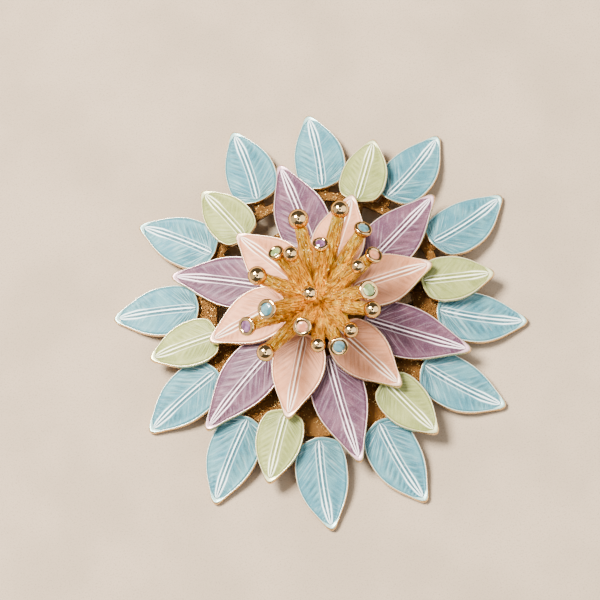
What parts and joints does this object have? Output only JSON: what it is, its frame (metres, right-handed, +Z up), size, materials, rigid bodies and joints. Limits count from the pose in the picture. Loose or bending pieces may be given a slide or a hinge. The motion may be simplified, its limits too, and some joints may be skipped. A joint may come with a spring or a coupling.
{
  "type": "statement brooch",
  "caption": "Domed flower brooch in gold-plated castings, with rings of blue, green, lilac and peach enamelled petals round stamens tipped with balls and set stones.",
  "frame": {"origin": "on the table under the middle of the flower, as it lies face up", "axes": "+Z up, the way the flower faces; +X along the pin, from its hinge to its catch"},
  "size_m": [0.0633, 0.0666, 0.0197],
  "materials": {
    "petal_gold": "polished pale gold plate, rough and browner between the petals",
    "stamen_gold": "deep gold plate with a bark-like grain, its balls and cups polished",
    "pin_gold": "satin gold plate",
    "blue_enamel": "pearly aqua-blue enamel over engraved veins",
    "green_enamel": "pearly pale green enamel over faint veins",
    "lilac_enamel": "pearly lilac enamel over engraved veins",
    "peach_enamel": "pearly peach enamel over engraved veins",
    "aqua_stone": "milky aqua cut glass",
    "green_stone": "milky green cut glass",
    "lilac_stone": "milky lilac cut glass",
    "peach_stone": "milky peach cut glass"
  },
  "bodies": {
    "root": {"outer_layer": "petal_gold", "lilac_layer": "petal_gold", "peach_layer": "petal_gold", "stamen_cluster": "stamen_gold", "pin_finding": "pin_gold", "blue_enamel_01": "blue_enamel", "blue_enamel_02": "blue_enamel", "blue_enamel_03": "blue_enamel", "blue_enamel_04": "blue_enamel", "blue_enamel_05": "blue_enamel", "blue_enamel_06": "blue_enamel", "blue_enamel_07": "blue_enamel", "blue_enamel_08": "blue_enamel", "blue_enamel_09": "blue_enamel", "blue_enamel_10": "blue_enamel", "blue_enamel_11": "blue_enamel", "blue_enamel_12": "blue_enamel", "green_enamel_1": "green_enamel", "green_enamel_2": "green_enamel", "green_enamel_3": "green_enamel", "green_enamel_4": "green_enamel", "green_enamel_5": "green_enamel", "green_enamel_6": "green_enamel", "lilac_enamel_1": "lilac_enamel", "lilac_enamel_2": "lilac_enamel", "lilac_enamel_3": "lilac_enamel", "lilac_enamel_4": "lilac_enamel", "lilac_enamel_5": "lilac_enamel", "lilac_enamel_6": "lilac_enamel", "peach_enamel_1": "peach_enamel", "peach_enamel_2": "peach_enamel", "peach_enamel_3": "peach_enamel", "peach_enamel_4": "peach_enamel", "peach_enamel_5": "peach_enamel", "peach_enamel_6": "peach_enamel", "aqua_stone_1": "aqua_stone", "aqua_stone_2": "aqua_stone", "aqua_stone_3": "aqua_stone", "green_stone_1": "green_stone", "green_stone_2": "green_stone", "lilac_stone_1": "lilac_stone", "lilac_stone_2": "lilac_stone", "peach_stone_1": "peach_stone", "peach_stone_2": "peach_stone"}
  },
  "joints": []
}
